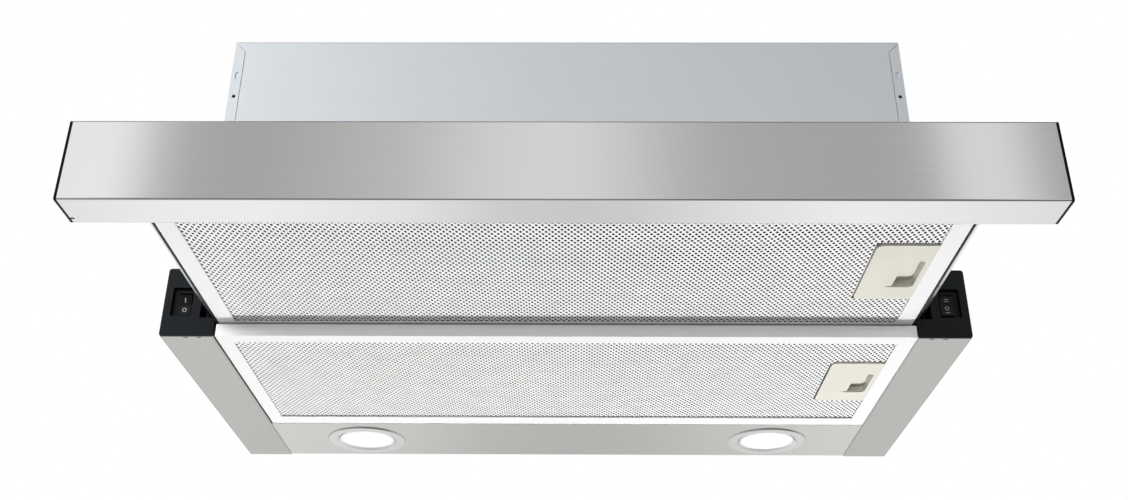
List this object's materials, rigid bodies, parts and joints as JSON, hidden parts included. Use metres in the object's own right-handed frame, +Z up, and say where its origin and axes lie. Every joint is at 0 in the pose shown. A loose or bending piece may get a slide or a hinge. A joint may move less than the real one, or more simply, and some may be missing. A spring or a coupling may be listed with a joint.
{
  "type": "pull out range hood",
  "caption": "Slim under-cabinet extractor hood whose front tray pulls out on ball bearing runners, with latched mesh filters, lamps, a blower and a round duct collar.",
  "frame": {"origin": "centre of the top plate's upper face: the middle of the cabinet screws, on the duct collar's axis", "axes": "+Z up along the duct collar, +X to the user's right as seen from the front, -Y towards the user, the way the tray pulls out"},
  "size_m": [0.598, 0.4894, 0.3072],
  "materials": {
    "galvanised": "galvanised sheet, satin, faint spangle",
    "stainless": "brushed along the depth, satin",
    "fascia_stainless": "brushed along the width, satin",
    "black_plastic": "fine texture",
    "black_gloss": "smooth",
    "rocker_plastic": "satin",
    "lamp_bezel": "satin nickel",
    "lamp_glass": "frosted, lit from behind",
    "white_plastic": "plain",
    "grey_plastic": "plain",
    "motor_metal": "satin",
    "zinc_steel": "zinc plated",
    "dark_steel": "satin black",
    "impeller_steel": "galvanised",
    "spring_steel": "bright drawn wire",
    "ball_steel": "polished",
    "filter_aluminium": "satin anodised",
    "filter_pack": "expanded foil",
    "filter_mesh": "bright expanded metal",
    "cream_plastic": "satin moulded"
  },
  "bodies": {
    "body": {"housing_wrap": "galvanised", "housing_side_left": "galvanised", "housing_side_right": "galvanised", "rear_panel": "galvanised", "side_arm_left": "stainless", "side_arm_right": "stainless", "cap_left": "black_plastic", "cap_right": "black_plastic", "lamp_panel": "stainless", "lamp_ring_left": "lamp_bezel", "lamp_ring_right": "lamp_bezel", "lamp_lens_left": "lamp_glass", "lamp_lens_right": "lamp_glass", "lamp_body_left": "white_plastic", "lamp_body_right": "white_plastic", "fan_housing": "grey_plastic", "motor": "motor_metal", "motor_bracket": "zinc_steel", "capacitor": "white_plastic", "terminal_box": "white_plastic", "cable_gland": "black_plastic", "duct_collar": "black_plastic", "flap_pin": "zinc_steel", "runner_outer_left": "zinc_steel", "runner_outer_right": "zinc_steel", "rear_filter_frame": "filter_aluminium", "rear_filter_pack": "filter_pack", "rear_filter_mesh": "filter_mesh", "rear_latch_plate": "cream_plastic", "rear_latch_spring": "spring_steel", "light_switch": "black_plastic", "speed_switch": "black_plastic", "microswitch": "black_plastic", "switch_leaf": "spring_steel", "housing_screws": "zinc_steel"},
    "tray": {"tray_frame": "dark_steel", "tray_cover": "galvanised", "fascia": "fascia_stainless", "fascia_cap_left": "black_gloss", "fascia_cap_right": "black_gloss", "runner_inner_left": "zinc_steel", "runner_inner_right": "zinc_steel", "front_filter_frame": "filter_aluminium", "front_filter_pack": "filter_pack", "front_filter_mesh": "filter_mesh", "front_latch_plate": "cream_plastic", "front_latch_spring": "spring_steel", "tray_screws": "zinc_steel"},
    "ball_cages": {"cage_left": "white_plastic", "cage_right": "white_plastic", "balls_left": "ball_steel", "balls_right": "ball_steel"},
    "fan_rotor": {"impeller": "impeller_steel", "fan_shaft": "spring_steel"},
    "front_flap": {"flap_front": "grey_plastic"},
    "rear_flap": {"flap_rear": "grey_plastic"},
    "front_latch_slider": {"front_latch": "cream_plastic"},
    "rear_latch_slider": {"rear_latch": "cream_plastic"},
    "light_rocker_body": {"light_rocker": "rocker_plastic"},
    "speed_rocker_body": {"speed_rocker": "rocker_plastic"}
  },
  "joints": [
    {"name": "tray_slide", "type": "slide", "parent": "body", "child": "tray", "axis": [0, 1, 0], "range_m": [0, 0.174], "deforming": ["switch_leaf"]},
    {"name": "cage_slide", "type": "slide", "parent": "body", "child": "ball_cages", "axis": [0, 1, 0], "range_m": [0, 0.087]},
    {"name": "fan_spin", "type": "hinge", "parent": "body", "child": "fan_rotor", "pos_m": [0, 0.022, -0.116], "axis": [1, 0, 0], "continuous": true},
    {"name": "front_flap_hinge", "type": "hinge", "parent": "body", "child": "front_flap", "pos_m": [0, 0, 0.004], "axis": [-1, 0, 0], "range_deg": [0, 75]},
    {"name": "rear_flap_hinge", "type": "hinge", "parent": "body", "child": "rear_flap", "pos_m": [0, 0, 0.004], "axis": [1, 0, 0], "range_deg": [0, 75]},
    {"name": "front_latch_pull", "type": "slide", "parent": "tray", "child": "front_latch_slider", "axis": [-1, 0, 0], "range_m": [0, 0.005], "stiffness_N_per_m": 400, "springref_m": -0.004, "deforming": ["front_latch_spring"]},
    {"name": "rear_latch_pull", "type": "slide", "parent": "body", "child": "rear_latch_slider", "axis": [-1, 0, 0], "range_m": [0, 0.005], "stiffness_N_per_m": 400, "springref_m": -0.004, "deforming": ["rear_latch_spring"]},
    {"name": "light_switch_rock", "type": "hinge", "parent": "body", "child": "light_rocker_body", "pos_m": [-0.2844, -0.134, -0.2395], "axis": [-1, 0, 0], "range_deg": [0, 14]},
    {"name": "speed_switch_rock", "type": "hinge", "parent": "body", "child": "speed_rocker_body", "pos_m": [0.2844, -0.134, -0.2395], "axis": [-1, 0, 0], "range_deg": [-7, 7]}
  ],
  "couplings": [
    {"joint": "cage_slide", "follows": "tray_slide", "ratio": 0.5}
  ]
}
